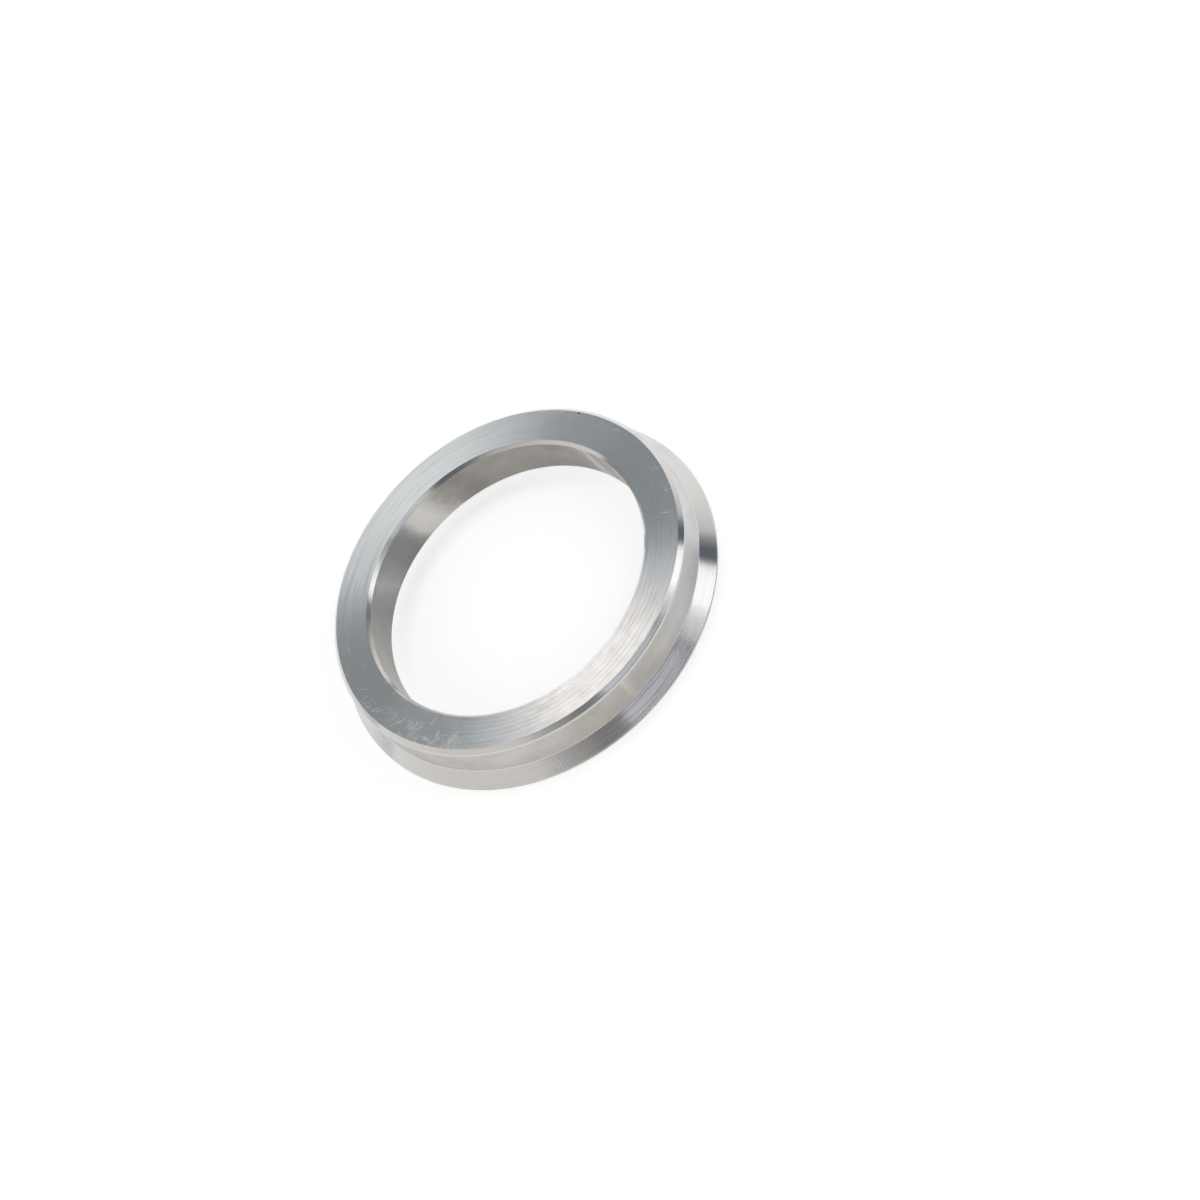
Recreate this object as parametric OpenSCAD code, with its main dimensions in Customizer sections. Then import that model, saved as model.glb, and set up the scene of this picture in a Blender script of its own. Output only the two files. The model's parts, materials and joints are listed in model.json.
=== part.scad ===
// Hub centric ring: a turned aluminium spacer that centres a wheel on its hub.
// The bore slides over the hub's spigot and the seat fills the wheel's centre bore.
// A sloped lip at the back stops in the bevel round the wheel's centre bore.
// The ring lies on its back face, centred on Z, with its front face up.

/* [Fits] */
// Diameter of the bore, which is the hub's spigot
bore_d = 57.1; // [50:0.1:72]
// Wall from the bore to the seat, half of what the wheel's bore is larger than the hub's spigot
wall = 8; // [3.5:0.05:14]
// Length of the seat, from the front face to the root of the lip
seat_length = 7.3; // [5:0.1:12]

/* [Lip] */
// How far the lip stands out from the seat
lip_reach = 2.5; // [1.5:0.1:4]
// Slope of the lip's cone, measured from the back face, in degrees
lip_slope = 45; // [30:1:60]
// Height of the plain rim round the lip
rim_h = 0.6; // [0.4:0.1:2]
// Radius in the corner where the lip meets the seat
root_radius = 0.3; // [0.1:0.05:0.6]

/* [Edges] */
// Leg of the 45 degree lead-in chamfer on the front of the seat
lead_chamfer = 0.85; // [0.3:0.05:1.5]
// Leg of the 45 degree chamfer on the front of the bore
front_bore_chamfer = 0.65; // [0.3:0.05:1.2]
// Leg of the 45 degree chamfer on the back of the bore, which clears the hub's fillet
back_bore_chamfer = 1.7; // [0.5:0.1:2.5]
// Leg of the small edge break round the back of the rim
rim_break = 0.15; // [0.05:0.05:0.3]

/* [Hidden] */
$fn = 180;
bore_r = bore_d / 2;
seat_r = bore_r + wall;
lip_r = seat_r + lip_reach;
root_z = rim_h + lip_reach * tan(lip_slope);
ring_h = root_z + seat_length;
// The root's arc touches the seat this far above the corner, and the cone as far below it
root_tangent = root_radius * tan((90 - lip_slope) / 2);

// Half of the ring's section, with radius along X and height along Y
module ring_section() {
    polygon([
        [bore_r, back_bore_chamfer],
        [bore_r, ring_h - front_bore_chamfer],
        [bore_r + front_bore_chamfer, ring_h],
        [seat_r - lead_chamfer, ring_h],
        [seat_r, ring_h - lead_chamfer],
        [seat_r, root_z],
        [lip_r, rim_h],
        [lip_r, rim_break],
        [lip_r - rim_break, 0],
        [bore_r + back_bore_chamfer, 0]
    ]);
}

// Metal left in the root's corner, hollowed by the arc that blends the seat into the cone
module root_blend() {
    arc_centre = [root_radius, root_tangent];
    translate([seat_r, root_z]) difference() {
        polygon([
            [0, 0],
            [0, root_tangent],
            arc_centre,
            root_tangent * [cos(lip_slope), -sin(lip_slope)]
        ]);
        translate(arc_centre) circle(r = root_radius);
    }
}

module hub_ring() {
    color("#c3c5c6") rotate_extrude() {
        ring_section();
        root_blend();
    }
}

hub_ring();
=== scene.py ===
import json
import math

import bpy
from mathutils import Matrix, Vector


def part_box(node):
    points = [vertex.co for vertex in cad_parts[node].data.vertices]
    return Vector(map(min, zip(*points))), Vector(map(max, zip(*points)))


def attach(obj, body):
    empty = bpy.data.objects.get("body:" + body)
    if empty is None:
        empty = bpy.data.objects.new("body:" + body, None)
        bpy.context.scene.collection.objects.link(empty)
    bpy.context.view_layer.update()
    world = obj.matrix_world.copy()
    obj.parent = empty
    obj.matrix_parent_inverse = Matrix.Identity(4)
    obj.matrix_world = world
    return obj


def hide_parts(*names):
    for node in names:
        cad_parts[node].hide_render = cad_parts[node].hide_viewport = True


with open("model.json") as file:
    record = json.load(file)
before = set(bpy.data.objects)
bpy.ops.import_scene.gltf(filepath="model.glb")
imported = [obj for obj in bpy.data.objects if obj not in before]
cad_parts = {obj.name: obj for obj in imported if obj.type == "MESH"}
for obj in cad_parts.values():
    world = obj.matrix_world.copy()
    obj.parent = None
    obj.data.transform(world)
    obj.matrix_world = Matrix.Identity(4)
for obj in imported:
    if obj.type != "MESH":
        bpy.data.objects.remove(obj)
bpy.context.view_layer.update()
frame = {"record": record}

mm = 0.001  # everything below is in millimetres until it meets Blender
mounts = {mount["name"]: mount for mount in frame["record"]["mounts"]}


# Small helpers

def addNode(tree, kind, links=None, **settings):
    node = tree.nodes.new(kind)
    for name, value in settings.items():
        setattr(node, name, value)
    for name, value in (links or {}).items():
        if isinstance(value, bpy.types.NodeSocket):
            tree.links.new(value, node.inputs[name])
        else:
            node.inputs[name].default_value = value
    return node


def hexColour(text):
    # sRGB hex to the linear colour that a shader takes
    channels = [int(text[i:i + 2], 16) / 255 for i in (1, 3, 5)]
    linear = [c / 12.92 if c <= 0.04045 else ((c + 0.055) / 1.055) ** 2.4 for c in channels]
    return (*linear, 1.0)


def link(thing):
    bpy.context.scene.collection.objects.link(thing)
    return thing


# Camera: the photo's own angle to the ring. The ring lies flat here, so the camera is rolled.

cameraSetup = {
    "height": 475.2,         # above the surface that the ring lies on
    "back": 410.9,           # horizontal distance from the ring's axis
    "aim": (9.69, -11.79),   # where the middle of the picture meets that surface
    "roll": 43.19,           # degrees, leans the ring's axis to the upper left
    "lens": 100.3,           # on a 36 mm wide frame
}


def makeCamera(setup):
    place = Vector((0, -setup["back"], setup["height"])) * mm
    aim = Vector((*setup["aim"], 0)) * mm
    data = bpy.data.cameras.new("camera")
    data.lens = setup["lens"]
    data.sensor_width = 36
    data.clip_start = 0.01
    data.clip_end = 20
    camera = link(bpy.data.objects.new("camera", data))
    turn = (aim - place).to_track_quat("-Z", "Y").to_matrix()
    turn = turn @ Matrix.Rotation(math.radians(-setup["roll"]), 3, "Z")
    camera.matrix_world = Matrix.Translation(place) @ turn.to_4x4()
    bpy.context.scene.camera = camera


makeCamera(cameraSetup)
print("camera placed")


# Ring: one turned section, swept round the axis. Its sizes come from the frame.

lowCorner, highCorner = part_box("hub_ring")
boreMount = mounts["hub_bore"]
seatMount = mounts["wheel_seat"]


def mountSpan(mount):
    # lowest and highest end of a round mount's wall, in mm above the back face
    middle = mount["pos_m"][2] / mm
    half = mount["dims"]["length_mm"] / 2
    return middle - half, middle + half


boreLow, boreHigh = mountSpan(boreMount)
seatLow, seatHigh = mountSpan(seatMount)

ring = {
    "height": highCorner.z / mm,
    "lipRadius": highCorner.x / mm,
    "boreRadius": boreMount["dims"]["r_mm"],
    "seatRadius": seatMount["dims"]["r_mm"],
    "rimHeight": 0.6,        # plain band round the lip
    "rimBreak": 0.15,        # edge break under it
    "rootRadius": 0.3,       # hollow corner between cone and seat
    "edgeRadius": 0.05,      # what deburring leaves on every sharp edge
    "segments": 360,
    "faceCell": 0.1,         # longest step along the section on the front face
    "wallCell": 0.35,        # and elsewhere
    "faceSlack": 0.002,      # points this little below the front height still lie on that face
    "feedPitch": 0.96,       # tool's coarse waves on the front face
    "feedDepth": 0.012,
    "feedWander": 0.4,       # pitches that the waves stray from an even spiral
    "wanderSize": 17,
    "shallowShare": 0.4,     # what is left of the depth on the +Y side, where the blank ran out
    "flatFrom": 0.97,        # a normal's height from which metal counts as a face
    "uprightBelow": 0.2,     # and below which it counts as seat or bore
}


def sectionCorners(r):
    # radius, height and edge radius of each corner, clockwise from the bore's front edge
    topFace = r["height"]
    frontChamfer = topFace - boreHigh
    leadChamfer = topFace - seatHigh
    coneFoot = r["rimHeight"] + r["lipRadius"] - r["seatRadius"]
    edge = r["edgeRadius"]
    return [
        (r["boreRadius"] + frontChamfer, topFace, edge),
        (r["seatRadius"] - leadChamfer, topFace, edge),
        (r["seatRadius"], seatHigh, edge),
        (r["seatRadius"], coneFoot, r["rootRadius"]),
        (r["lipRadius"], r["rimHeight"], edge),
        (r["lipRadius"], r["rimBreak"], edge),
        (r["lipRadius"] - r["rimBreak"], 0, edge),
        (r["boreRadius"] + boreLow, 0, edge),
        (r["boreRadius"], boreLow, edge),
        (r["boreRadius"], boreHigh, edge),
    ]


def roundedCorner(before, corner, after, radius, steps=4):
    # points of the arc that touches both sides of the corner
    corner = Vector(corner)
    toBefore = (Vector(before) - corner).normalized()
    toAfter = (Vector(after) - corner).normalized()
    halfAngle = toBefore.angle(toAfter) / 2
    run = radius / math.tan(halfAngle)
    middle = corner + (toBefore + toAfter).normalized() * radius / math.sin(halfAngle)
    start = corner + toBefore * run - middle
    end = corner + toAfter * run - middle
    sweep = start.angle_signed(end)
    turns = [Matrix.Rotation(-sweep * i / steps, 2) for i in range(steps + 1)]
    return [middle + turn @ start for turn in turns]


def sectionOutline(r):
    corners = sectionCorners(r)
    arcs = []
    for i, (radius, height, edge) in enumerate(corners):
        before = corners[i - 1][:2]
        after = corners[(i + 1) % len(corners)][:2]
        arcs.append(roundedCorner(before, (radius, height), after, edge))
    outline = []
    for i, arc in enumerate(arcs):
        start, end = arc[-1], arcs[(i + 1) % len(arcs)][0]
        outline += arc
        cell = r["faceCell"] if i == 0 else r["wallCell"]
        steps = max(1, math.ceil((end - start).length / cell))
        outline += [start.lerp(end, k / steps) for k in range(1, steps)]
    return outline


def sweepTree(name, materialNames):
    # takes the section as a ring of edges and turns it round Z, then gives each band its finish
    tree = bpy.data.node_groups.new(name, "GeometryNodeTree")
    sockets = tree.interface
    sockets.new_socket("Section", in_out="INPUT", socket_type="NodeSocketGeometry")
    sockets.new_socket("Segments", in_out="INPUT", socket_type="NodeSocketInt")
    for label in ("Middle radius", "Front height", "Feed pitch", "Feed depth", "Feed wander", "Wander scale",
                  "Shallow share", "Flat from", "Upright below"):
        sockets.new_socket(label, in_out="INPUT", socket_type="NodeSocketFloat")
    sockets.new_socket("Ring", in_out="OUTPUT", socket_type="NodeSocketGeometry")

    start = tree.nodes.new("NodeGroupInput").outputs
    profile = addNode(tree, "GeometryNodeMeshToCurve", {"Mesh": start["Section"]})
    path = addNode(tree, "GeometryNodeCurvePrimitiveCircle",
                   {"Resolution": start["Segments"], "Radius": start["Middle radius"]})
    swept = addNode(tree, "GeometryNodeCurveToMesh",
                    {"Curve": path.outputs["Curve"], "Profile Curve": profile.outputs["Curve"]})

    # the feed is a spiral: one pitch outwards for each turn, so it closes on itself, and the tool's
    # round nose leaves a sharp ridge between two hollows
    place = addNode(tree, "GeometryNodeInputPosition").outputs[0]
    parts = addNode(tree, "ShaderNodeSeparateXYZ", {0: place}).outputs
    flat = addNode(tree, "ShaderNodeCombineXYZ", {0: parts[0], 1: parts[1]})
    radius = addNode(tree, "ShaderNodeVectorMath", {0: flat.outputs[0]}, operation="LENGTH").outputs["Value"]
    angle = addNode(tree, "ShaderNodeMath", {0: parts[1], 1: parts[0]}, operation="ARCTAN2").outputs[0]
    turnsOut = addNode(tree, "ShaderNodeMath", {0: radius, 1: start["Feed pitch"]},
                       operation="DIVIDE").outputs[0]
    phase = addNode(tree, "ShaderNodeMath", {0: angle, 1: 1 / math.tau, 2: turnsOut},
                    operation="MULTIPLY_ADD").outputs[0]
    wander = addNode(tree, "ShaderNodeTexNoise",
                     {"Vector": place, "Scale": start["Wander scale"]}).outputs[0]
    phase = addNode(tree, "ShaderNodeMath", {0: wander, 1: start["Feed wander"], 2: phase},
                    operation="MULTIPLY_ADD").outputs[0]
    fromRidge = addNode(tree, "ShaderNodeMath", {0: phase, 1: 0.5}, operation="PINGPONG").outputs[0]
    aside = addNode(tree, "ShaderNodeMath", {0: fromRidge, 1: -2.0, 2: 1.0},
                    operation="MULTIPLY_ADD").outputs[0]
    ridge = addNode(tree, "ShaderNodeMath", {0: aside, 1: aside}, operation="MULTIPLY").outputs[0]
    hollow = addNode(tree, "ShaderNodeMath", {0: ridge, 1: 1.0}, operation="SUBTRACT").outputs[0]
    nearEnd = addNode(tree, "ShaderNodeMath", {0: start["Middle radius"], 1: -1.0},
                      operation="MULTIPLY").outputs[0]
    bite = addNode(tree, "ShaderNodeMapRange", {0: parts[1], 1: nearEnd, 2: start["Middle radius"], 3: 1.0,
                                                4: start["Shallow share"]}).outputs[0]
    depth = addNode(tree, "ShaderNodeMath", {0: bite, 1: start["Feed depth"]},
                    operation="MULTIPLY").outputs[0]
    drop = addNode(tree, "ShaderNodeMath", {0: hollow, 1: depth}, operation="MULTIPLY").outputs[0]
    onFace = addNode(tree, "FunctionNodeCompare", {0: parts[2], 1: start["Front height"]},
                     operation="GREATER_THAN").outputs[0]
    down = addNode(tree, "ShaderNodeCombineXYZ", {2: drop}).outputs[0]
    moved = addNode(tree, "GeometryNodeSetPosition",
                    {"Geometry": swept.outputs[0], "Selection": onFace, "Offset": down})
    smooth = addNode(tree, "GeometryNodeSetShadeSmooth", {"Geometry": moved.outputs[0]})
    made = addNode(tree, "GeometryNodeRealizeInstances", {"Geometry": smooth.outputs[0]}).outputs[0]

    # finish by band: which way the metal faces, and which side of the wall it is on
    facing = addNode(tree, "ShaderNodeSeparateXYZ",
                     {0: addNode(tree, "GeometryNodeInputNormal").outputs[0]}).outputs[2]
    facing = addNode(tree, "ShaderNodeMath", {0: facing}, operation="ABSOLUTE").outputs[0]
    flatFace = addNode(tree, "FunctionNodeCompare", {0: facing, 1: start["Flat from"]},
                       operation="GREATER_THAN").outputs[0]
    upright = addNode(tree, "FunctionNodeCompare", {0: facing, 1: start["Upright below"]},
                      operation="LESS_THAN").outputs[0]
    outside = addNode(tree, "FunctionNodeCompare", {0: radius, 1: start["Middle radius"]},
                      operation="GREATER_THAN").outputs[0]
    seat = addNode(tree, "FunctionNodeBooleanMath", {0: upright, 1: outside}, operation="AND").outputs[0]
    bore = addNode(tree, "FunctionNodeBooleanMath", {0: upright, 1: outside}, operation="NIMPLY").outputs[0]
    for materialName, chosen in zip(materialNames, (True, flatFace, seat, bore)):
        made = addNode(tree, "GeometryNodeSetMaterial",
                       {"Geometry": made, "Selection": chosen,
                        "Material": bpy.data.materials[materialName]}).outputs[0]
    tree.links.new(made, tree.nodes.new("NodeGroupOutput").inputs["Ring"])
    return tree


def runTree(source, tree, values, name):
    # evaluates the tree on the source and keeps the result as a plain mesh
    modifier = source.modifiers.new(tree.name, "NODES")
    modifier.node_group = tree
    for item in tree.interface.items_tree:
        if item.item_type == "SOCKET" and item.in_out == "INPUT" and item.name in values:
            modifier[item.identifier] = values[item.name]
    evaluated = source.evaluated_get(bpy.context.evaluated_depsgraph_get())
    mesh = bpy.data.meshes.new_from_object(evaluated)
    mesh.name = name
    source.modifiers.remove(modifier)
    bpy.data.objects.remove(source)
    return link(bpy.data.objects.new(name, mesh))


# Finishes. The ring is bare aluminium alloy, turned on a lathe and left uncoated.

def latheSpace(tree):
    # where a point lies on the turned ring: mm from the axis, mm above the back face, and way round
    place = addNode(tree, "ShaderNodeTexCoord").outputs["Object"]
    place = addNode(tree, "ShaderNodeVectorMath", {0: place, "Scale": 1 / mm}, operation="SCALE").outputs[0]
    parts = addNode(tree, "ShaderNodeSeparateXYZ", {0: place}).outputs
    level = addNode(tree, "ShaderNodeCombineXYZ", {0: parts[0], 1: parts[1]}).outputs[0]
    radius = addNode(tree, "ShaderNodeVectorMath", {0: level}, operation="LENGTH").outputs["Value"]
    outward = addNode(tree, "ShaderNodeVectorMath", {0: level}, operation="NORMALIZE").outputs[0]
    angle = addNode(tree, "ShaderNodeMath", {0: parts[1], 1: parts[0]}, operation="ARCTAN2").outputs[0]
    turn = addNode(tree, "ShaderNodeMath", {0: angle, 1: 1 / math.tau}, operation="MULTIPLY").outputs[0]
    turn = addNode(tree, "ShaderNodeMath", {0: turn}, operation="FRACT").outputs[0]
    return {"place": place, "level": level, "radius": radius, "height": parts[2],
            "outward": outward, "angle": angle, "turn": turn}


def startMetal(name, look):
    # bare metal whose grooves run round the axis, so it spreads light across them
    finish = bpy.data.materials.new(name)
    finish.use_nodes = True
    tree = finish.node_tree
    shader = tree.nodes["Principled BSDF"]
    shader.inputs["Metallic"].default_value = 1.0
    shader.inputs["Base Color"].default_value = hexColour(look["colour"])
    shader.inputs["Roughness"].default_value = look["roughness"]
    shader.inputs["Anisotropic"].default_value = look["anisotropy"]
    shader.inputs["Anisotropic Rotation"].default_value = 0.25
    grooves = addNode(tree, "ShaderNodeTangent", direction_type="RADIAL", axis="Z")
    tree.links.new(grooves.outputs[0], shader.inputs["Tangent"])
    return tree, shader, latheSpace(tree)


def turnedMarks(tree, space, across, along, detail=2.0, seed=0.0):
    # noise drawn out round the ring: marks are "across" mm wide and "along" mm long, without a seam
    reach = (ring["boreRadius"] + ring["seatRadius"]) / 2 / along
    parts = addNode(tree, "ShaderNodeSeparateXYZ", {0: space["outward"]}).outputs
    rowOut = addNode(tree, "ShaderNodeMath", {0: space["radius"], 1: 1 / across},
                     operation="MULTIPLY").outputs[0]
    rowUp = addNode(tree, "ShaderNodeMath", {0: space["height"], 1: 1 / across},
                    operation="MULTIPLY").outputs[0]
    roundX = addNode(tree, "ShaderNodeMath", {0: parts[0], 1: reach}, operation="MULTIPLY").outputs[0]
    roundY = addNode(tree, "ShaderNodeMath", {0: parts[1], 1: reach, 2: seed},
                     operation="MULTIPLY_ADD").outputs[0]
    row = addNode(tree, "ShaderNodeCombineXYZ", {0: rowOut, 1: rowUp, 2: roundX}).outputs[0]
    return addNode(tree, "ShaderNodeTexNoise", {"Vector": row, "W": roundY, "Scale": 1.0, "Detail": detail},
                   noise_dimensions="4D").outputs[0]


def byAngle(tree, space, stops):
    # a value or a colour that changes round the ring, from (degrees from +X, value) pairs
    ramp = addNode(tree, "ShaderNodeValToRGB", {"Fac": space["turn"]})
    elements = ramp.color_ramp.elements
    elements.remove(elements[1])
    for i, (degrees, value) in enumerate(stops):
        stop = elements.new(degrees / 360) if i else elements[0]
        stop.color = hexColour(value) if isinstance(value, str) else (value, value, value, 1)
    return ramp.outputs[0]


def scratchMask(tree, space, marks, density):
    # hair scratches that run outwards with a lean, one in each long narrow cell, fading at both ends;
    # density says how many of them show
    middle = (ring["boreRadius"] + ring["seatRadius"]) / 2
    along = addNode(tree, "ShaderNodeMath", {0: space["radius"], 1: 1 / marks["length"], 2: marks["seed"]},
                    operation="MULTIPLY_ADD").outputs[0]
    lean = addNode(tree, "ShaderNodeMath", {0: space["radius"], 1: marks["lean"]},
                   operation="MULTIPLY").outputs[0]
    aside = addNode(tree, "ShaderNodeMath", {0: space["angle"], 1: middle, 2: lean},
                    operation="MULTIPLY_ADD").outputs[0]
    aside = addNode(tree, "ShaderNodeMath", {0: aside, 1: 1 / marks["spacing"]},
                    operation="MULTIPLY").outputs[0]
    flat = addNode(tree, "ShaderNodeCombineXYZ", {0: along, 1: aside}).outputs[0]
    cells = addNode(tree, "ShaderNodeTexVoronoi", {"Vector": flat, "Scale": 1.0},
                    voronoi_dimensions="2D", feature="F1").outputs
    local = addNode(tree, "ShaderNodeVectorMath", {0: flat, 1: cells["Position"]},
                    operation="SUBTRACT").outputs[0]
    local = addNode(tree, "ShaderNodeVectorMath", {0: local, 1: (marks["length"], marks["spacing"], 0)},
                    operation="MULTIPLY").outputs[0]
    parts = addNode(tree, "ShaderNodeSeparateXYZ", {0: local}).outputs
    chance = addNode(tree, "ShaderNodeSeparateColor", {0: cells["Color"]}).outputs
    turned = addNode(tree, "ShaderNodeMapRange",
                     {0: chance[0], 3: -marks["spread"], 4: marks["spread"]}).outputs[0]
    turned = addNode(tree, "ShaderNodeMath", {0: parts[0], 1: marks["bend"], 2: turned},
                     operation="MULTIPLY_ADD").outputs[0]
    side = addNode(tree, "ShaderNodeMath", {0: turned, 1: parts[0], 2: parts[1]},
                   operation="MULTIPLY_ADD").outputs[0]
    side = addNode(tree, "ShaderNodeMath", {0: side}, operation="ABSOLUTE").outputs[0]
    line = addNode(tree, "ShaderNodeMapRange",
                   {0: side, 1: marks["width"] / 5, 2: marks["width"] / 2, 3: 1.0, 4: 0.0}).outputs[0]
    # a stroke reaches this far each way from the middle of its cell
    reach = addNode(tree, "ShaderNodeMapRange",
                    {0: chance[1], 3: marks["length"] / 8, 4: marks["length"] / 3}).outputs[0]
    fade = addNode(tree, "ShaderNodeMath", {0: parts[0], 1: reach}, operation="DIVIDE").outputs[0]
    fade = addNode(tree, "ShaderNodeMath", {0: fade, 1: fade}, operation="MULTIPLY").outputs[0]
    fade = addNode(tree, "ShaderNodeMath", {0: 1.0, 1: fade},
                   operation="SUBTRACT", use_clamp=True).outputs[0]
    shown = addNode(tree, "ShaderNodeMath", {0: chance[2], 1: density}, operation="LESS_THAN").outputs[0]
    line = addNode(tree, "ShaderNodeMath", {0: line, 1: fade}, operation="MULTIPLY").outputs[0]
    strength = addNode(tree, "ShaderNodeMapRange", {0: chance[0], 3: marks["faintest"], 4: 1.0}).outputs[0]
    line = addNode(tree, "ShaderNodeMath", {0: line, 1: strength}, operation="MULTIPLY").outputs[0]
    return addNode(tree, "ShaderNodeMath", {0: line, 1: shown}, operation="MULTIPLY").outputs[0]


# Front and back faces, faced with a pointed tool: fine grooves that spread light into two bright and
# two dark sectors, and short handling scratches that catch light where the face is dark
faceLook = {
    "colour": "#eef0f1",
    "shade": "#dfe1e3",          # in the deeper marks
    "roughness": 0.345,
    "scratchRoughness": 0.62,    # torn metal scatters light every way, and is fresh and bright
    "scratchColour": "#ffffff",
    "anisotropy": 0.97,
    "fineMark": 0.25, "fineLength": 14,      # mm; real ones are about 0.1, too fine to show
    "markDepth": 0.009,
    # painted reflection and shade: warmer towards -Y, and darker towards +Y
    "tinted": [(0, "#f8fafa"), (40, "#f8fafa"), (60, "#ebecec"), (112, "#ebecec"), (128, "#f8fafa"),
               (150, "#fbf9f6"), (186, "#fbf9f6"), (200, "#fbfdfd"), (228, "#fbfdfd"), (240, "#fff9f5"),
               (300, "#fff9f5"), (314, "#f8fafa"), (360, "#f8fafa")],
    # painted shade along the feed ridges: its colour, width, breaks, and how strong it is round the ring
    "ridgeColour": "#a9abac",
    "ridgeWidth": 0.22,          # share of the pitch
    "ridgeLength": 5.0,          # mm before it breaks off
    "ridgeBreak": (0.38, 0.62),  # noise at which it is gone, and whole again
    "ridged": [(0, 0.08), (60, 0.1), (120, 0.1), (200, 0.12), (228, 0.4), (240, 0.65), (262, 0.5),
               (280, 0.6), (300, 0.8), (314, 0.8), (324, 0.3), (334, 0.1), (360, 0.08)],
    "streakColour": "#c4c7c9",
    "streak": 0.3, "streakLength": 8.0,      # mm
    "streakLevels": (0.54, 0.34),            # noise at which a streak starts, and is full
    "streaked": [(0, 0.1), (40, 0.15), (60, 0.6), (128, 0.8), (144, 0.3), (156, 0.12), (200, 0.08),
                 (228, 0.3), (240, 0.5), (310, 0.5), (325, 0.2), (360, 0.1)],
    "scratchDepth": 0.012,
    "nick": {"around": 27, "radius": 35.55, "width": 0.45, "depth": 0.02},    # degrees from +X, then mm
    "nickColour": "#4a4e52",     # painted shade, as its walls turn light away
    "dull": 1.9, "dullRoughness": 0.09,      # faint handling blotches, mm across
    # lean: mm round for each mm outwards; spread: how much that varies; bend: how a stroke curves
    "scratches": {
        "short": {"length": 1.7, "spacing": 0.45, "width": 0.14, "lean": 0.2, "spread": 0.9, "bend": 0.1,
                  "faintest": 0.5, "seed": 0.3},
        "middle": {"length": 3.4, "spacing": 0.55, "width": 0.14, "lean": 0.45, "spread": 0.35, "bend": 0.05,
                   "faintest": 0.5, "seed": 0.7},
        "long": {"length": 5.0, "spacing": 0.7, "width": 0.14, "lean": 0.3, "spread": 0.2, "bend": 0.03,
                 "faintest": 0.45, "seed": 0.1},
    },
    "cluster": 2.4,              # mm across
    "clusterLevels": (0.36, 0.54),           # noise with no scratches, and with all of them
    "edgeShare": (31.5, 35.3, 0.12, 1.7),    # fewer at the first radius than at the second, in mm
    "scratched": [(0, 0.08), (8, 0.06), (30, 0.15), (60, 0.02), (110, 0.01), (140, 0.05), (170, 0.08),
                  (176, 0.25), (183, 0.4), (190, 0.3), (193, 0.45), (196, 1.0), (201, 0.6), (205, 1.0),
                  (214, 1.0), (219, 0.45), (228, 0.25), (233, 0.0), (319, 0.0), (325, 0.12), (329, 0.45),
                  (332, 0.12), (336, 0.15), (341, 0.4), (345, 0.3), (349, 0.08), (360, 0.08)],
}


def feedShadeLines(tree, space, look):
    # the same spiral as the waves in the mesh: each ridge holds a painted dark line of shade, broken up
    # along its way, with finer streaks between them
    wander = addNode(tree, "ShaderNodeTexNoise",
                     {"Vector": space["place"], "Scale": 1 / ring["wanderSize"]}).outputs[0]
    phase = addNode(tree, "ShaderNodeMath", {0: space["radius"], 1: 1 / ring["feedPitch"], 2: space["turn"]},
                    operation="MULTIPLY_ADD").outputs[0]
    phase = addNode(tree, "ShaderNodeMath", {0: wander, 1: ring["feedWander"], 2: phase},
                    operation="MULTIPLY_ADD").outputs[0]
    fromRidge = addNode(tree, "ShaderNodeMath", {0: phase, 1: 0.5}, operation="PINGPONG").outputs[0]
    line = addNode(tree, "ShaderNodeMapRange",
                   {0: fromRidge, 1: 0.0, 2: look["ridgeWidth"] / 2, 3: 1.0, 4: 0.0}).outputs[0]
    broken = turnedMarks(tree, space, look["streak"], look["ridgeLength"], seed=9.0)
    gone, whole = look["ridgeBreak"]
    broken = addNode(tree, "ShaderNodeMapRange", {0: broken, 1: gone, 2: whole}).outputs[0]
    line = addNode(tree, "ShaderNodeMath", {0: line, 1: broken}, operation="MULTIPLY").outputs[0]
    return addNode(tree, "ShaderNodeMath", {0: line, 1: byAngle(tree, space, look["ridged"])},
                   operation="MULTIPLY").outputs[0]


def feedStreaks(tree, space, look):
    streaks = turnedMarks(tree, space, look["streak"], look["streakLength"], detail=3.0, seed=5.0)
    none, full = look["streakLevels"]
    streaks = addNode(tree, "ShaderNodeMapRange", {0: streaks, 1: none, 2: full}).outputs[0]
    return addNode(tree, "ShaderNodeMath", {0: streaks, 1: byAngle(tree, space, look["streaked"])},
                   operation="MULTIPLY").outputs[0]


def faceColour(tree, space, look, fine, torn):
    shaded = addNode(tree, "ShaderNodeMix",
                     {0: fine, 6: hexColour(look["shade"]), 7: hexColour(look["colour"])},
                     data_type="RGBA").outputs[2]
    # multiplies in the painted reflection and shade round the ring
    tinted = addNode(tree, "ShaderNodeMix", {0: 1.0, 6: shaded, 7: byAngle(tree, space, look["tinted"])},
                     data_type="RGBA", blend_type="MULTIPLY").outputs[2]
    streaked = addNode(tree, "ShaderNodeMix",
                       {0: feedStreaks(tree, space, look), 6: tinted, 7: hexColour(look["streakColour"])},
                       data_type="RGBA").outputs[2]
    # lays the painted ridge shade over the face
    ridged = addNode(tree, "ShaderNodeMix",
                     {0: feedShadeLines(tree, space, look), 6: streaked, 7: hexColour(look["ridgeColour"])},
                     data_type="RGBA").outputs[2]
    return addNode(tree, "ShaderNodeMix", {0: torn, 6: ridged, 7: hexColour(look["scratchColour"])},
                   data_type="RGBA").outputs[2]


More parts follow.
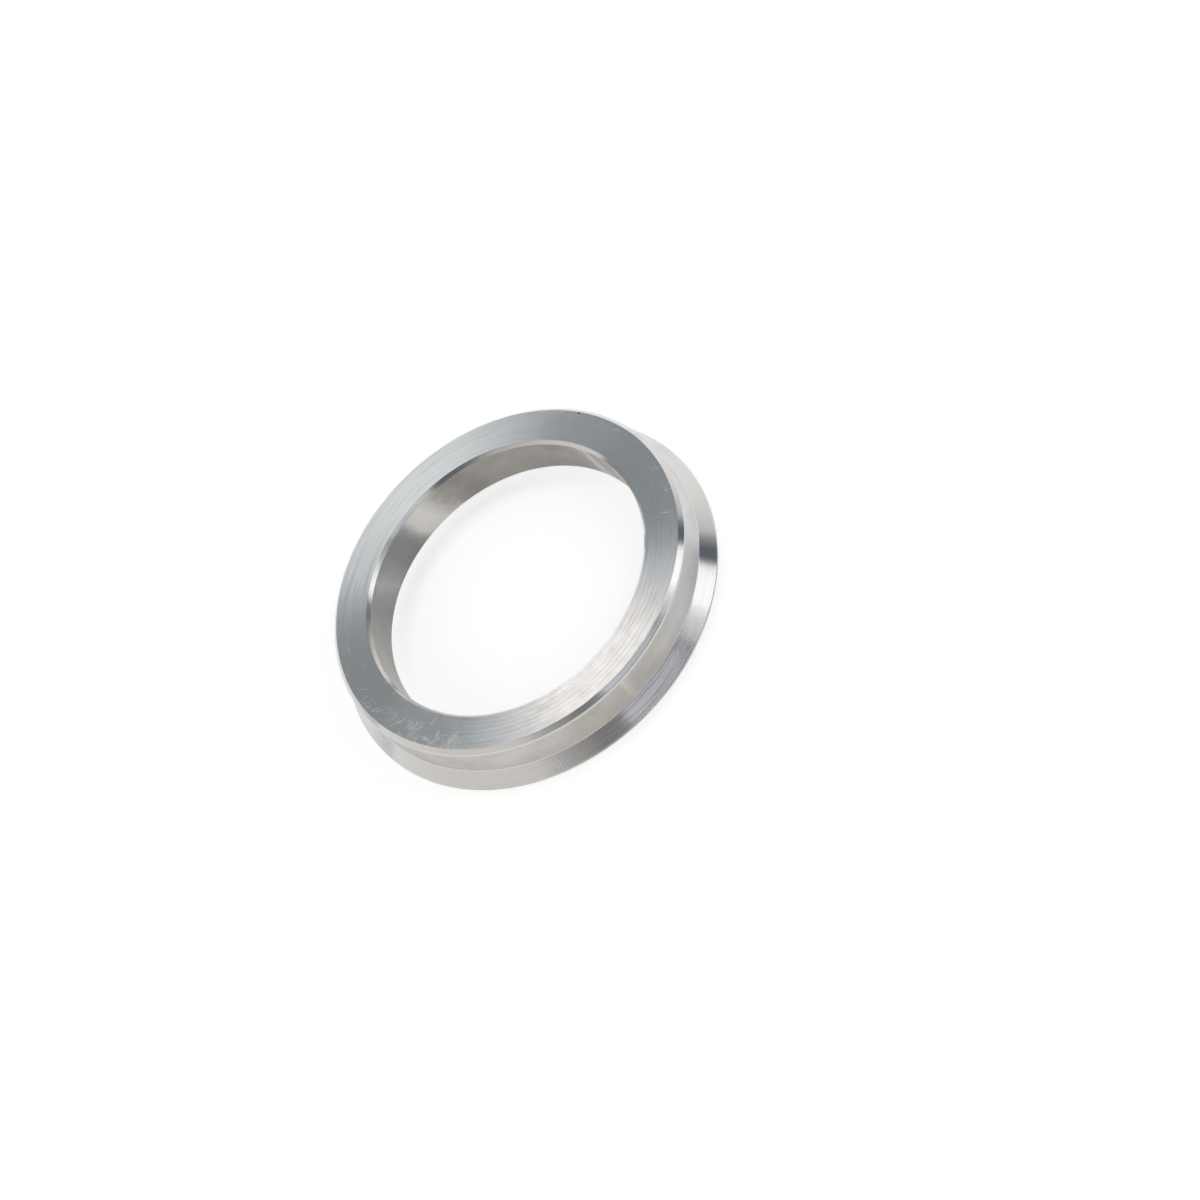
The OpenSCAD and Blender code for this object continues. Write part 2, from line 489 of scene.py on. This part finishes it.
def tornMetal(tree, space, look):
    # all scratches together: crowded in clusters, in some sectors and towards the rim of the face
    clusters = addNode(tree, "ShaderNodeTexNoise", {"Vector": space["level"], "Scale": 1 / look["cluster"],
                                                    "Detail": 1.0}, noise_dimensions="2D").outputs[0]
    none, full = look["clusterLevels"]
    crowded = addNode(tree, "ShaderNodeMapRange", {0: clusters, 1: none, 2: full}).outputs[0]
    inner, outer, few, many = look["edgeShare"]
    share = addNode(tree, "ShaderNodeMapRange",
                    {0: space["radius"], 1: inner, 2: outer, 3: few, 4: many}).outputs[0]
    density = addNode(tree, "ShaderNodeMath", {0: byAngle(tree, space, look["scratched"]), 1: crowded},
                      operation="MULTIPLY").outputs[0]
    density = addNode(tree, "ShaderNodeMath", {0: density, 1: share}, operation="MULTIPLY").outputs[0]
    torn = 0.0
    for marks in look["scratches"].values():
        torn = addNode(tree, "ShaderNodeMath", {0: torn, 1: scratchMask(tree, space, marks, density)},
                       operation="MAXIMUM").outputs[0]
    return torn


def nickMask(tree, space, nick):
    around = math.radians(nick["around"])
    spot = (nick["radius"] * math.cos(around), nick["radius"] * math.sin(around), 0)
    away = addNode(tree, "ShaderNodeVectorMath", {0: space["level"], 1: spot},
                   operation="DISTANCE").outputs["Value"]
    return addNode(tree, "ShaderNodeMapRange", {0: away, 1: 0.0, 2: nick["width"], 3: 1.0, 4: 0.0},
                   interpolation_type="SMOOTHSTEP").outputs[0]


def makeFaceFinish(look):
    tree, shader, space = startMetal("facedAluminium", look)
    fine = turnedMarks(tree, space, look["fineMark"], look["fineLength"])
    torn = tornMetal(tree, space, look)
    nick = nickMask(tree, space, look["nick"])
    # darkens the nick with painted shade
    colour = addNode(tree, "ShaderNodeMix", {0: nick, 6: faceColour(tree, space, look, fine, torn),
                                             7: hexColour(look["nickColour"])}, data_type="RGBA").outputs[2]
    tree.links.new(colour, shader.inputs["Base Color"])
    dull = addNode(tree, "ShaderNodeTexNoise", {"Vector": space["level"], "Scale": 1 / look["dull"],
                                                "Detail": 4.0}, noise_dimensions="2D").outputs[0]
    plain = addNode(tree, "ShaderNodeMapRange", {0: dull, 3: look["roughness"] - look["dullRoughness"],
                                                 4: look["roughness"] + look["dullRoughness"]}).outputs[0]
    rough = addNode(tree, "ShaderNodeMix", {0: torn, 2: plain, 3: look["scratchRoughness"]}).outputs[0]
    tree.links.new(rough, shader.inputs["Roughness"])
    # both go into one bump, whose step is a scratch's depth
    deeper = look["nick"]["depth"] / look["scratchDepth"]
    pits = addNode(tree, "ShaderNodeMath", {0: nick, 1: deeper, 2: torn},
                   operation="MULTIPLY_ADD").outputs[0]
    pits = addNode(tree, "ShaderNodeBump", {"Height": pits, "Distance": look["scratchDepth"] * mm},
                   invert=True)
    bump = addNode(tree, "ShaderNodeBump", {"Height": fine, "Distance": look["markDepth"] * mm,
                                            "Normal": pits.outputs[0]})
    tree.links.new(bump.outputs[0], shader.inputs["Normal"])


# Chamfers, cone and rim, cut with the flank of the tool: brighter and smoother than the faces, with
# fine lines round them and, where the tool sang, chatter marks across them
chamferLook = {
    "colour": "#e0e1e2",
    # painted reflection: the same round most of the ring, warmer at the lower right, with a painted dark
    # band and a painted highlight beside the lamps' highlight
    "coloured": [(0, "#e0e1e2"), (248, "#e0e1e2"), (254, "#f0e9e6"), (264, "#f0e9e6"), (269, "#e4e2e4"),
                 (292, "#e4e2e4"), (298, "#e0e1e2"), (318.5, "#e0e1e2"), (320.5, "#a6adb4"),
                 (323.5, "#b2b8be"), (325.5, "#e4e5e6"), (327, "#fbfbfb"), (330, "#e6e7e8"),
                 (333, "#e0e1e2"), (360, "#e0e1e2")],
    "shadeTint": "#f4f4f5",      # in the deeper marks
    # painted shade: the bore's front chamfer is darker at some angles round the ring
    "boreSide": [(0, 1.0), (30, 1.0), (44, 0.85), (60, 0.76), (74, 0.69), (84, 0.7), (94, 0.86),
                 (104, 0.77), (124, 0.7), (131, 1.0), (360, 1.0)],
    "sideMargin": 1.0,           # mm from the bore's wall and from the seat that keep their own tint
    "roughness": 0.2,
    "anisotropy": 0.85,
    "fineMark": 0.28, "fineLength": 9,       # mm; real ones are finer, too fine to show
    "markDepth": 0.007,
    "lineColour": "#a9adb5",
    "lineLevels": (0.5, 0.35),               # noise at which a line starts, and is full
    "lined": [(0, 0.03), (200, 0.04), (250, 0.08), (264, 0.25), (269, 0.8), (279, 0.8), (284, 0.35),
              (296, 0.2), (304, 0.04), (360, 0.03)],
    # pitch: mm round the cone; lean: how far a mark runs round for each mm outwards, in radians of its
    # wave; patch: mm that the tool sang evenly; stray: radians that patches are out of step
    "chatter": {
        "across": {"pitch": 0.46, "lean": 1.6, "depth": 0.0035, "patch": 5.0, "stray": 14.0,
                   "where": [(0, 0.3), (60, 0.2), (120, 0.3), (200, 0.2), (232, 0.4), (238, 0.8), (248, 1.0),
                             (258, 0.7), (264, 0.25), (280, 0.1), (295, 0.4), (299, 0.9), (304, 0.6),
                             (308, 0.15), (320, 0.05), (326, 0.15), (332, 0.1), (360, 0.2)]},
        "slanted": {"pitch": 0.5, "lean": 9.0, "depth": 0.002, "patch": 7.0, "stray": 5.0,
                    "where": [(0, 0.0), (262, 0.0), (272, 0.4), (280, 1.0), (293, 1.0), (299, 0.2),
                              (306, 0.0), (360, 0.0)]},
    },
}


def chatterMarks(tree, space, marks):
    waves = round(math.tau * ring["lipRadius"] / marks["pitch"])
    lean = addNode(tree, "ShaderNodeMath", {0: space["radius"], 1: marks["lean"]},
                   operation="MULTIPLY").outputs[0]
    phase = addNode(tree, "ShaderNodeMath", {0: space["angle"], 1: waves, 2: lean},
                    operation="MULTIPLY_ADD").outputs[0]
    patches = turnedMarks(tree, space, marks["patch"] / 2, marks["patch"], seed=4.0)
    phase = addNode(tree, "ShaderNodeMath", {0: patches, 1: marks["stray"], 2: phase},
                    operation="MULTIPLY_ADD").outputs[0]
    wave = addNode(tree, "ShaderNodeMath", {0: phase}, operation="SINE").outputs[0]
    wave = addNode(tree, "ShaderNodeMath", {0: wave, 1: patches}, operation="MULTIPLY").outputs[0]
    return addNode(tree, "ShaderNodeMath", {0: wave, 1: byAngle(tree, space, marks["where"])},
                   operation="MULTIPLY").outputs[0]


def chamferColour(tree, space, look, fine, grooved):
    onLead = addNode(tree, "ShaderNodeMapRange", {0: space["height"], 1: seatLow, 2: seatHigh}).outputs[0]
    outwards = addNode(tree, "ShaderNodeMapRange",
                       {0: space["radius"], 1: ring["boreRadius"] + look["sideMargin"],
                        2: ring["seatRadius"] - look["sideMargin"]}).outputs[0]
    # painted shade on the bore's front chamfer, fading out towards the seat
    boreSideShading = addNode(tree, "ShaderNodeMix", {0: outwards, 6: byAngle(tree, space, look["boreSide"]),
                                               7: (1, 1, 1, 1)}, data_type="RGBA").outputs[2]
    markTint = addNode(tree, "ShaderNodeMix", {0: fine, 6: hexColour(look["shadeTint"]), 7: (1, 1, 1, 1)},
                       data_type="RGBA").outputs[2]
    # the painted reflection colour round the ring
    body = byAngle(tree, space, look["coloured"])
    body = addNode(tree, "ShaderNodeMix", {0: 1.0, 6: body, 7: markTint}, data_type="RGBA",
                   blend_type="MULTIPLY").outputs[2]
    body = addNode(tree, "ShaderNodeMix", {0: onLead, 6: body, 7: boreSideShading}, data_type="RGBA",
                   blend_type="MULTIPLY").outputs[2]
    return addNode(tree, "ShaderNodeMix", {0: grooved, 6: body, 7: hexColour(look["lineColour"])},
                   data_type="RGBA").outputs[2]


def makeChamferFinish(look):
    tree, shader, space = startMetal("turnedChamfer", look)
    fine = turnedMarks(tree, space, look["fineMark"], look["fineLength"], detail=3.0)
    where = byAngle(tree, space, look["lined"])
    none, full = look["lineLevels"]
    grooved = addNode(tree, "ShaderNodeMapRange", {0: fine, 1: none, 2: full}).outputs[0]
    grooved = addNode(tree, "ShaderNodeMath", {0: grooved, 1: where}, operation="MULTIPLY").outputs[0]
    tree.links.new(chamferColour(tree, space, look, fine, grooved), shader.inputs["Base Color"])
    lines = addNode(tree, "ShaderNodeMath", {0: fine, 1: where}, operation="MULTIPLY").outputs[0]
    bump = addNode(tree, "ShaderNodeBump", {"Height": lines, "Distance": look["markDepth"] * mm}).outputs[0]
    for marks in look["chatter"].values():
        wave = chatterMarks(tree, space, marks)
        bump = addNode(tree, "ShaderNodeBump", {"Height": wave, "Distance": 2 * marks["depth"] * mm,
                                                "Normal": bump}).outputs[0]
    tree.links.new(bump, shader.inputs["Normal"])


# Seat, turned with a fine feed and given a satin rub along the axis by handling: an even grey, with painted
# light and shade that change round the ring, and lighter in a band where it meets the lead-in chamfer
seatLook = {
    "colour": "#cac6c1",
    "shade": "#b5b1ab",
    "brightColour": "#dedcd9",
    "roughness": 0.45,
    "anisotropy": 0.5,
    "fineMark": 0.25, "fineLength": 9,
    "markDepth": 0.002,
    "rubWidth": 0.7, "rubLength": 5.0,       # mm
    "rubStrength": 0.22,
    "cloud": 5.0,                # mm across
    "cloudStrength": 0.9,
    # painted reflection: how warm the seat shows round the ring
    "coloured": [(0, 0.4), (60, 0.8), (120, 1.0), (288, 1.0), (297, 0.35), (325, 0.1), (345, 0.25),
                 (360, 0.4)],
    # painted light and shade round the seat, between its shade and bright colours
    "rubbed": [(0, 0.55), (60, 0.45), (180, 0.3), (235, 0.55), (247, 0.5), (255, 0.2), (265, 0.15),
               (272.4, 0.24), (273.1, 0.9), (273.8, 0.7), (274.6, 0.2), (285, 0.25), (295, 0.38), (305, 0.4),
               (317.5, 0.22), (325, 0.8), (333, 1.0), (345, 1.0), (355, 0.6), (360, 0.55)],
    "bandTop": 0.1, "bandFoot": 0.9,         # mm below the chamfer: full, and gone
    "bandColour": "#dddcda",
}


def makeSeatFinish(look):
    tree, shader, space = startMetal("satinSeat", look)
    fine = turnedMarks(tree, space, look["fineMark"], look["fineLength"], detail=3.0)
    streaks = turnedMarks(tree, space, look["rubLength"], look["rubWidth"], seed=2.0)
    clouds = addNode(tree, "ShaderNodeTexNoise", {"Vector": space["place"], "Scale": 1 / look["cloud"],
                                                  "Detail": 4.0}).outputs[0]
    streaks = addNode(tree, "ShaderNodeMath", {0: streaks, 1: 0.5}, operation="SUBTRACT").outputs[0]
    clouds = addNode(tree, "ShaderNodeMath", {0: clouds, 1: 0.5}, operation="SUBTRACT").outputs[0]
    # painted light and shade round the ring, with random streaks and clouds on top
    wearAndPaintedLight = addNode(tree, "ShaderNodeMath",
                   {0: streaks, 1: look["rubStrength"], 2: byAngle(tree, space, look["rubbed"])},
                   operation="MULTIPLY_ADD").outputs[0]
    wearAndPaintedLight = addNode(tree, "ShaderNodeMath", {0: clouds, 1: look["cloudStrength"], 2: wearAndPaintedLight},
                   operation="MULTIPLY_ADD").outputs[0]
    body = addNode(tree, "ShaderNodeValToRGB", {"Fac": wearAndPaintedLight})
    body.color_ramp.elements[0].color = hexColour(look["shade"])
    body.color_ramp.elements[1].color = hexColour(look["brightColour"])
    body.color_ramp.elements.new(0.5).color = hexColour(look["colour"])
    # the painted reflection's warmth round the ring
    strength = byAngle(tree, space, look["coloured"])
    body = addNode(tree, "ShaderNodeHueSaturation",
                   {"Color": body.outputs[0], "Saturation": strength}).outputs[0]
    band = addNode(tree, "ShaderNodeMapRange",
                   {0: space["height"], 1: seatHigh - look["bandFoot"], 2: seatHigh - look["bandTop"]},
                   interpolation_type="SMOOTHSTEP").outputs[0]
    body = addNode(tree, "ShaderNodeMix", {0: band, 6: body, 7: hexColour(look["bandColour"])},
                   data_type="RGBA").outputs[2]
    tree.links.new(body, shader.inputs["Base Color"])
    bump = addNode(tree, "ShaderNodeBump", {"Height": fine, "Distance": look["markDepth"] * mm})
    tree.links.new(bump.outputs[0], shader.inputs["Normal"])


# Bore, bored to size: smooth, and a little darker and warmer than the outside as painted shade, with a
# painted cooler shade on one side and painted reflections in lighter patches that lean down the wall
boreLook = {
    "colour": "#95918c",
    "shade": "#86827e",
    "roughness": 0.3,
    "anisotropy": 0.7,
    "fineMark": 0.2, "fineLength": 12,
    "markDepth": 0.001,
    "cloud": 5.0,                # mm across
    "cloudLevels": (0.35, 0.65),             # noise at which the shade ends, and the full colour starts
    "coolColour": "#838484",     # painted shade: a darker, neutral grey on one side of the wall
    "cool": [(0, 0.0), (100, 0.0), (106, 1.0), (142, 1.0), (152, 0.0), (360, 0.0)],
    # painted reflections: lighter patches round the wall
    "rubbedColour": "#d0cdc8",
    "rubbed": [(0, 0.1), (14, 0.05), (18, 0.7), (22, 0.05), (40, 0.05), (60, 0.15), (76, 0.02), (84, 0.08),
               (89, 0.6), (95, 1.0), (101, 0.85), (105, 0.2), (109, 0.0), (116, 0.0), (123, 0.15),
               (128, 0.35), (133, 0.15), (140, 0.08), (146, 0.1), (155, 0.2), (200, 0.15), (270, 0.2),
               (330, 0.15), (360, 0.1)],
    "rubLean": 0.002,            # turns that a patch runs round for each mm down the wall
    "rubStray": 0.03,            # turns that the clouds push its edges about
}


def makeBoreFinish(look):
    tree, shader, space = startMetal("satinBore", look)
    fine = turnedMarks(tree, space, look["fineMark"], look["fineLength"], detail=3.0)
    clouds = addNode(tree, "ShaderNodeTexNoise", {"Vector": space["place"], "Scale": 1 / look["cloud"],
                                                  "Detail": 4.0}).outputs[0]
    none, full = look["cloudLevels"]
    cloudy = addNode(tree, "ShaderNodeMapRange", {0: clouds, 1: none, 2: full}).outputs[0]
    turn = addNode(tree, "ShaderNodeMath", {0: space["height"], 1: -look["rubLean"], 2: space["turn"]},
                   operation="MULTIPLY_ADD").outputs[0]
    turn = addNode(tree, "ShaderNodeMath", {0: clouds, 1: look["rubStray"], 2: turn},
                   operation="MULTIPLY_ADD").outputs[0]
    leaning = {"turn": addNode(tree, "ShaderNodeMath", {0: turn}, operation="FRACT").outputs[0]}
    body = addNode(tree, "ShaderNodeMix",
                   {0: cloudy, 6: hexColour(look["shade"]), 7: hexColour(look["colour"])},
                   data_type="RGBA").outputs[2]
    # painted shade, cooler and darker on one side
    body = addNode(tree, "ShaderNodeMix",
                   {0: byAngle(tree, leaning, look["cool"]), 6: body, 7: hexColour(look["coolColour"])},
                   data_type="RGBA").outputs[2]
    # painted reflections in lighter patches
    body = addNode(tree, "ShaderNodeMix",
                   {0: byAngle(tree, leaning, look["rubbed"]), 6: body, 7: hexColour(look["rubbedColour"])},
                   data_type="RGBA").outputs[2]
    tree.links.new(body, shader.inputs["Base Color"])
    bump = addNode(tree, "ShaderNodeBump", {"Height": fine, "Distance": look["markDepth"] * mm})
    tree.links.new(bump.outputs[0], shader.inputs["Normal"])


makeFaceFinish(faceLook)
makeChamferFinish(chamferLook)
makeSeatFinish(seatLook)
makeBoreFinish(boreLook)
print("finishes mixed")


def makeRing(r):
    middleRadius = (r["boreRadius"] + r["seatRadius"]) / 2
    outline = sectionOutline(r)
    points = [((p.x - middleRadius) * mm, -p.y * mm, 0) for p in outline]
    edges = [(i, (i + 1) % len(points)) for i in range(len(points))]
    mesh = bpy.data.meshes.new("section")
    mesh.from_pydata(points, edges, [])
    section = link(bpy.data.objects.new("section", mesh))
    tree = sweepTree("turnedRing", ("turnedChamfer", "facedAluminium", "satinSeat", "satinBore"))
    values = {
        "Segments": r["segments"],
        "Middle radius": middleRadius * mm,
        "Front height": (r["height"] - r["faceSlack"]) * mm,
        "Feed pitch": r["feedPitch"] * mm,
        "Feed depth": r["feedDepth"] * mm,
        "Feed wander": r["feedWander"],
        "Wander scale": 1 / (r["wanderSize"] * mm),
        "Shallow share": r["shallowShare"],
        "Flat from": r["flatFrom"],
        "Upright below": r["uprightBelow"],
    }
    return runTree(section, tree, values, "hubRing")


hubRing = makeRing(ring)
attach(hubRing, "root")
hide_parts("hub_ring")
print("ring turned:", len(hubRing.data.polygons), "faces,", [m.name for m in hubRing.data.materials])


# Floor: plain and pale. What the camera and the metal see of it is lifted to white, and the ring's
# shadow stays in it.

floorLook = {
    "reach": 3.0,            # metres each way
    "colour": "#e8e8e8",
    "lift": 0.55,            # added for the camera and for reflections, where a total of 1 is white
}


def makeFloor(look):
    reach = look["reach"]
    mesh = bpy.data.meshes.new("floor")
    mesh.from_pydata([(-reach, -reach, 0), (reach, -reach, 0), (reach, reach, 0), (-reach, reach, 0)], [],
                     [(0, 1, 2, 3)])
    finish = bpy.data.materials.new("paleFloor")
    finish.use_nodes = True
    tree = finish.node_tree
    shader = tree.nodes["Principled BSDF"]
    shader.inputs["Base Color"].default_value = hexColour(look["colour"])
    shader.inputs["Roughness"].default_value = 1.0
    shader.inputs["Specular IOR Level"].default_value = 0.0
    shader.inputs["Emission Color"].default_value = (1, 1, 1, 1)
    path = addNode(tree, "ShaderNodeLightPath").outputs
    seen = addNode(tree, "ShaderNodeMath", {0: path["Is Camera Ray"], 1: path["Is Glossy Ray"]},
                   operation="MAXIMUM").outputs[0]
    seen = addNode(tree, "ShaderNodeMath", {0: seen, 1: path["Is Transmission Ray"]},
                   operation="MAXIMUM").outputs[0]
    lift = addNode(tree, "ShaderNodeMath", {0: seen, 1: look["lift"]}, operation="MULTIPLY").outputs[0]
    tree.links.new(lift, shader.inputs["Emission Strength"])
    mesh.materials.append(finish)
    floor = link(bpy.data.objects.new("floor", mesh))


makeFloor(floorLook)
print("floor laid")


# Light: soft panels round the ring, which the bare metal shows as bright and dark sectors.
# Each is given by where it stands (degrees round from +X and up from the floor), how wide and high
# it looks from the ring in degrees, and its brightness, where 1 is a white card's.

lightDistance = 0.9      # metres from the ring to every panel
lights = {
    "overhead": {"around": 90, "up": 71, "wide": 20, "high": 22, "glow": 2.75, "colour": "#fffcf7"},
    "overheadRim": {"around": 96, "up": 73, "wide": 46, "high": 18, "glow": 1.15, "colour": "#fbfcff"},
    "rightStrip": {"around": 340, "up": 29, "wide": 18, "high": 44, "glow": 1.2, "colour": "#fffdf9"},
    "stripSide": {"around": 323, "up": 33, "wide": 16, "high": 36, "glow": 0.56, "colour": "#fffdf9"},
    "lowRight": {"around": 22.5, "up": 9, "wide": 39, "high": 18, "glow": 0.73, "colour": "#fff5ea"},
    "lowBack": {"around": 54, "up": 6, "wide": 16, "high": 12, "glow": 1.35, "colour": "#fffaf2"},
    "leftWall": {"around": 182, "up": 24, "wide": 72, "high": 48, "glow": 0.31, "colour": "#fff4e8"},
    "leftWing": {"around": 190, "up": 24, "wide": 92, "high": 48, "glow": 0.26, "colour": "#fff4e8"},
    "frontHigh": {"around": 287, "up": 47, "wide": 34, "high": 18, "glow": 0.9, "colour": "#ffffff"},
}
# The room: paler behind the ring than on the camera's side
surround = {"colour": "#eef5fa", "front": 0.25, "back": 0.33, "frontEnd": 0.0, "backStart": 0.6}


def addLight(name, card):
    up, around = math.radians(card["up"]), math.radians(card["around"])
    towards = Vector((math.cos(up) * math.cos(around), math.cos(up) * math.sin(around), math.sin(up)))
    data = bpy.data.lights.new(name, "AREA")
    data.shape = "RECTANGLE"
    data.size = 2 * lightDistance * math.tan(math.radians(card["wide"] / 2))
    data.size_y = 2 * lightDistance * math.tan(math.radians(card["high"] / 2))
    data.color = hexColour(card["colour"])[:3]
    data.energy = card["glow"] * math.pi * data.size * data.size_y
    lamp = link(bpy.data.objects.new(name, data))
    facing = (-towards).to_track_quat("-Z", "Y").to_matrix()
    lamp.matrix_world = Matrix.Translation(towards * lightDistance) @ facing.to_4x4()
    lamp.visible_camera = False


for name, card in lights.items():
    addLight(name, card)


def makeSurround(room):
    world = bpy.data.worlds.new("studio")
    bpy.context.scene.world = world
    world.use_nodes = True
    tree = world.node_tree
    background = tree.nodes["Background"]
    background.inputs["Color"].default_value = hexColour(room["colour"])
    way = addNode(tree, "ShaderNodeTexCoord").outputs["Generated"]
    back = addNode(tree, "ShaderNodeSeparateXYZ", {0: way}).outputs[1]
    glow = addNode(tree, "ShaderNodeMapRange", {0: back, 1: room["frontEnd"], 2: room["backStart"],
                                                3: room["front"], 4: room["back"]},
                   interpolation_type="SMOOTHSTEP").outputs[0]
    tree.links.new(glow, background.inputs["Strength"])


makeSurround(surround)
print("lamps:", len(lights))

bpy.context.scene.view_settings.view_transform = "Standard"
